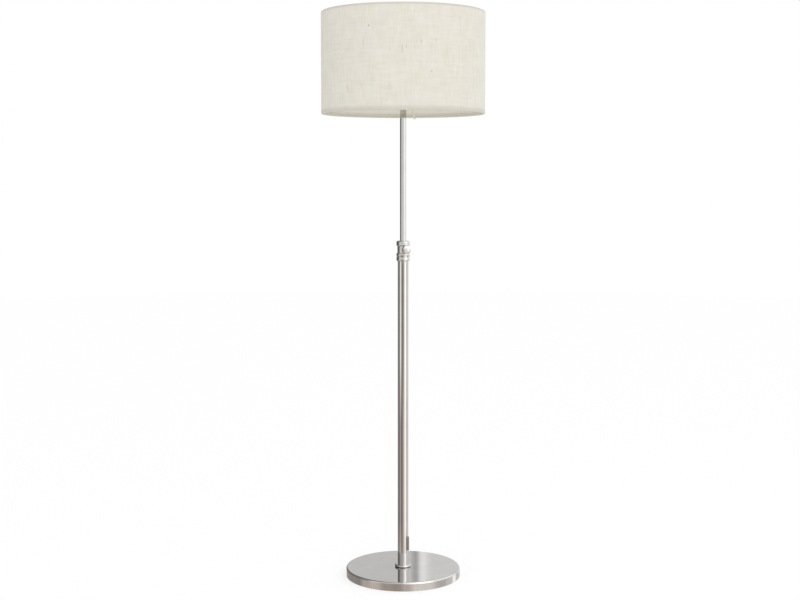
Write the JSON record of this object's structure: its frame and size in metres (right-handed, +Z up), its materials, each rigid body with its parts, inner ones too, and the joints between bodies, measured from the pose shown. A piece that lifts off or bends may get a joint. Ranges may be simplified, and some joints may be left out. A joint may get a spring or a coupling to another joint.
{
  "type": "telescopic floor lamp",
  "caption": "Floor lamp with a linen drum shade on a slim plated tube that slides and turns in a wider tube on a round weighted base, locked by a thumb screw.",
  "frame": {"origin": "centre of the base, on the floor", "axes": "+Z up along the tubes, -Y towards the viewer of the picture, +X to that viewer's right"},
  "size_m": [0.4199, 0.42, 1.462],
  "materials": {
    "plated_steel": "polished nickel plate",
    "cast_iron": "black primer",
    "felt": "matt felt",
    "zinc_steel": "zinc plated",
    "outlet_plastic": "matt moulded",
    "lead_sheath": "smooth sheath",
    "nylon": "matt moulded",
    "brass": "bright",
    "holder_plastic": "gloss moulded",
    "switch_plastic": "matt moulded",
    "porcelain": "glazed",
    "white_wire": "satin powder coat",
    "liner_plastic": "matt sheet",
    "linen": "natural slub linen",
    "pull_plastic": "gloss moulded"
  },
  "bodies": {
    "stand": {"base_cover": "plated_steel", "base_weight": "cast_iron", "base_pads": "felt", "foot_ring": "plated_steel", "foot_bolt": "zinc_steel", "foot_washer": "zinc_steel", "tube_plug": "zinc_steel", "lower_tube": "plated_steel", "cord_outlet": "outlet_plastic", "outlet_lead": "lead_sheath", "collar": "plated_steel", "guide_bush": "nylon"},
    "clamp_tip": {"clamp_pad": "nylon"},
    "clamp_handle": {"clamp_screw": "zinc_steel", "clamp_knob": "plated_steel"},
    "slider": {"slide_bush": "nylon", "inner_lead": "lead_sheath"},
    "mast": {"upper_tube": "plated_steel", "tube_end_cap": "nylon", "stop_ring": "zinc_steel", "tube_top_plug": "plated_steel", "nipple": "brass", "lock_nut": "brass", "holder_cap": "holder_plastic", "switch_block": "switch_plastic", "terminal_screws": "brass", "holder_core": "porcelain", "screw_shell": "brass", "centre_contact": "brass", "holder_skirt": "holder_plastic", "pull_guide": "brass", "shade_ring": "holder_plastic", "shade_frame": "white_wire", "shade_top_ring": "white_wire", "shade_liner": "liner_plastic", "shade_fabric": "linen"},
    "pull": {"pull_rod": "pull_plastic", "pull_grip": "pull_plastic"}
  },
  "joints": [
    {"name": "telescope_slide", "type": "slide", "parent": "stand", "child": "slider", "axis": [0, 0, 1], "range_m": [-0.3, 0.15], "deforming": ["inner_lead"]},
    {"name": "mast_swivel", "type": "hinge", "parent": "slider", "child": "mast", "pos_m": [0, 0, 0.5058], "axis": [0, 0, 1], "range_deg": [-180, 180]},
    {"name": "clamp_tip_slide", "type": "slide", "parent": "stand", "child": "clamp_tip", "axis": [0.342, -0.9397, 0], "range_m": [0, 0.0008]},
    {"name": "clamp_knob_turn", "type": "hinge", "parent": "clamp_tip", "child": "clamp_handle", "pos_m": [0.00766, -0.02105, 0.85675], "axis": [0.342, -0.9397, 0], "range_deg": [0, 360]},
    {"name": "pull_switch", "type": "slide", "parent": "mast", "child": "pull", "axis": [0.2756, 0, -0.9613], "range_m": [0, 0.008], "stiffness_N_per_m": 400, "springref_m": -0.002}
  ],
  "couplings": [
    {"joint": "clamp_knob_turn", "follows": "clamp_tip_slide", "rad_per_m": 7853.9}
  ]
}
